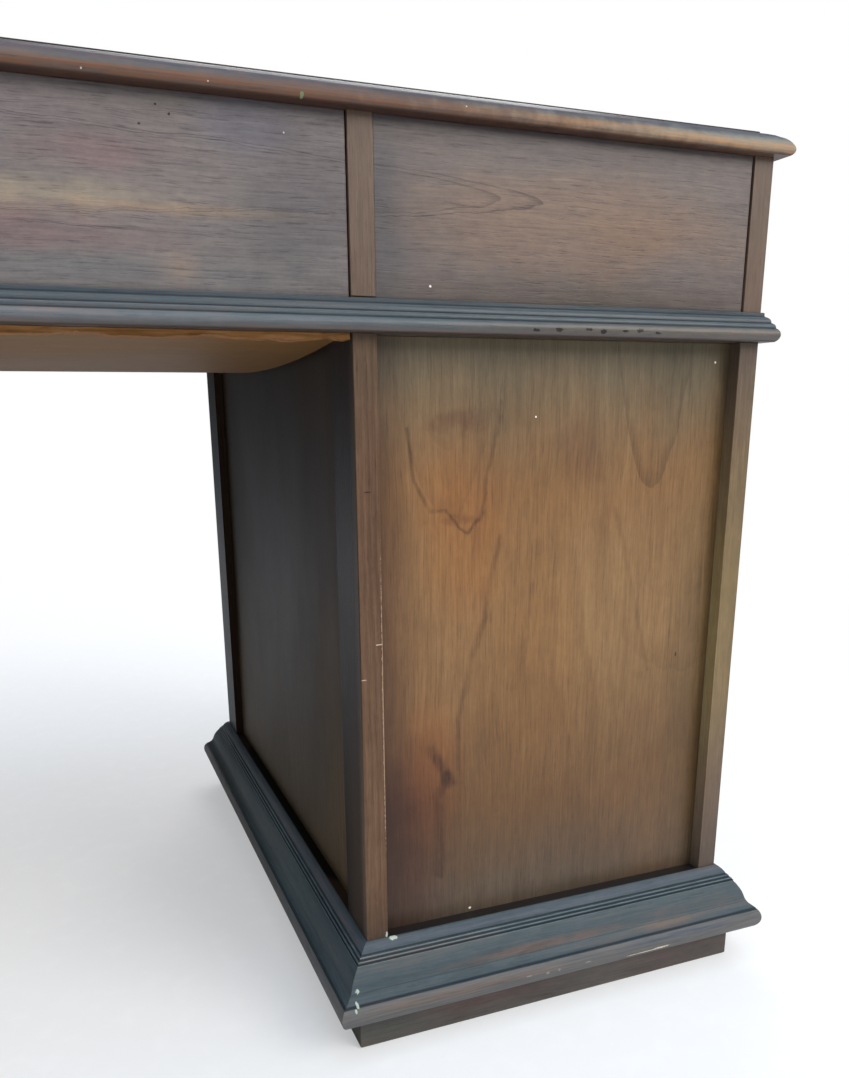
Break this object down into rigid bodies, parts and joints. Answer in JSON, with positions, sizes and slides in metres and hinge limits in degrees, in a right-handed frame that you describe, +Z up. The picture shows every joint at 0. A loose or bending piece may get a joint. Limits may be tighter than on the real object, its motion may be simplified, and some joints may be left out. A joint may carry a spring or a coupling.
{
  "type": "pedestal desk",
  "caption": "Wooden double-pedestal writing desk with a kneehole, sliding drawers, panelled back and sides, a moulded waist, an ogee base moulding on a plinth and a thumb-moulded top.",
  "frame": {"origin": "on the floor, under the middle of the desk's bounding box", "axes": "+X along the desk's length, +Y out of the panelled back, away from the drawers, +Z up"},
  "size_m": [1.418, 0.71, 0.7585],
  "materials": {
    "figured_veneer": "stained figured veneer, satin lacquer",
    "stained_solid": "dark stained solid wood, satin lacquer, worn brown on the noses",
    "frame_wood": "stained on the show edges, otherwise planed and bare",
    "drawer_wood": "planed and thinly sealed",
    "plywood": "bare rotary-cut plywood"
  },
  "bodies": {
    "carcase": {"frieze_back_boards": "figured_veneer", "frieze_end_left": "stained_solid", "frieze_end_right": "stained_solid", "frieze_partition_left": "stained_solid", "frieze_partition_right": "stained_solid", "frieze_rails_and_runners": "frame_wood", "kneehole_dust_sheet": "plywood", "left_base_moulding": "stained_solid", "left_pedestal_back_panel": "figured_veneer", "left_pedestal_kneehole_side_frame": "stained_solid", "left_pedestal_outer_side_frame": "stained_solid", "left_pedestal_side_panels": "figured_veneer", "left_plinth": "stained_solid", "locating_dowels": "frame_wood", "pedestal_bottom_boards": "frame_wood", "pedestal_rails_and_runners": "frame_wood", "right_base_moulding": "stained_solid", "right_pedestal_back_panel": "figured_veneer", "right_pedestal_kneehole_side_frame": "stained_solid", "right_pedestal_outer_side_frame": "stained_solid", "right_pedestal_side_panels": "figured_veneer", "right_plinth": "stained_solid", "top_edging": "stained_solid", "top_panel": "figured_veneer", "waist_moulding": "stained_solid"},
    "centre_drawer": {"centre_drawer_back": "drawer_wood", "centre_drawer_bottom": "plywood", "centre_drawer_front": "figured_veneer", "centre_drawer_knobs": "stained_solid", "centre_drawer_sides": "drawer_wood"},
    "left_frieze_drawer": {"left_frieze_drawer_back": "drawer_wood", "left_frieze_drawer_bottom": "plywood", "left_frieze_drawer_front": "figured_veneer", "left_frieze_drawer_knob": "stained_solid", "left_frieze_drawer_sides": "drawer_wood"},
    "left_shallow_drawer": {"left_shallow_drawer_back": "drawer_wood", "left_shallow_drawer_bottom": "plywood", "left_shallow_drawer_front": "figured_veneer", "left_shallow_drawer_knob": "stained_solid", "left_shallow_drawer_sides": "drawer_wood"},
    "left_file_drawer": {"left_file_drawer_back": "drawer_wood", "left_file_drawer_bottom": "plywood", "left_file_drawer_front": "figured_veneer", "left_file_drawer_knob": "stained_solid", "left_file_drawer_sides": "drawer_wood"},
    "right_frieze_drawer": {"right_frieze_drawer_back": "drawer_wood", "right_frieze_drawer_bottom": "plywood", "right_frieze_drawer_front": "figured_veneer", "right_frieze_drawer_knob": "stained_solid", "right_frieze_drawer_sides": "drawer_wood"},
    "right_shallow_drawer": {"right_shallow_drawer_back": "drawer_wood", "right_shallow_drawer_bottom": "plywood", "right_shallow_drawer_front": "figured_veneer", "right_shallow_drawer_knob": "stained_solid", "right_shallow_drawer_sides": "drawer_wood"},
    "right_file_drawer": {"right_file_drawer_back": "drawer_wood", "right_file_drawer_bottom": "plywood", "right_file_drawer_front": "figured_veneer", "right_file_drawer_knob": "stained_solid", "right_file_drawer_sides": "drawer_wood"}
  },
  "joints": [
    {"name": "centre_drawer_slide", "type": "slide", "parent": "carcase", "child": "centre_drawer", "axis": [0, -1, 0], "range_m": [0, 0.4]},
    {"name": "left_frieze_drawer_slide", "type": "slide", "parent": "carcase", "child": "left_frieze_drawer", "axis": [0, -1, 0], "range_m": [0, 0.4]},
    {"name": "left_shallow_drawer_slide", "type": "slide", "parent": "carcase", "child": "left_shallow_drawer", "axis": [0, -1, 0], "range_m": [0, 0.4]},
    {"name": "left_file_drawer_slide", "type": "slide", "parent": "carcase", "child": "left_file_drawer", "axis": [0, -1, 0], "range_m": [0, 0.4]},
    {"name": "right_frieze_drawer_slide", "type": "slide", "parent": "carcase", "child": "right_frieze_drawer", "axis": [0, -1, 0], "range_m": [0, 0.4]},
    {"name": "right_shallow_drawer_slide", "type": "slide", "parent": "carcase", "child": "right_shallow_drawer", "axis": [0, -1, 0], "range_m": [0, 0.4]},
    {"name": "right_file_drawer_slide", "type": "slide", "parent": "carcase", "child": "right_file_drawer", "axis": [0, -1, 0], "range_m": [0, 0.4]}
  ]
}
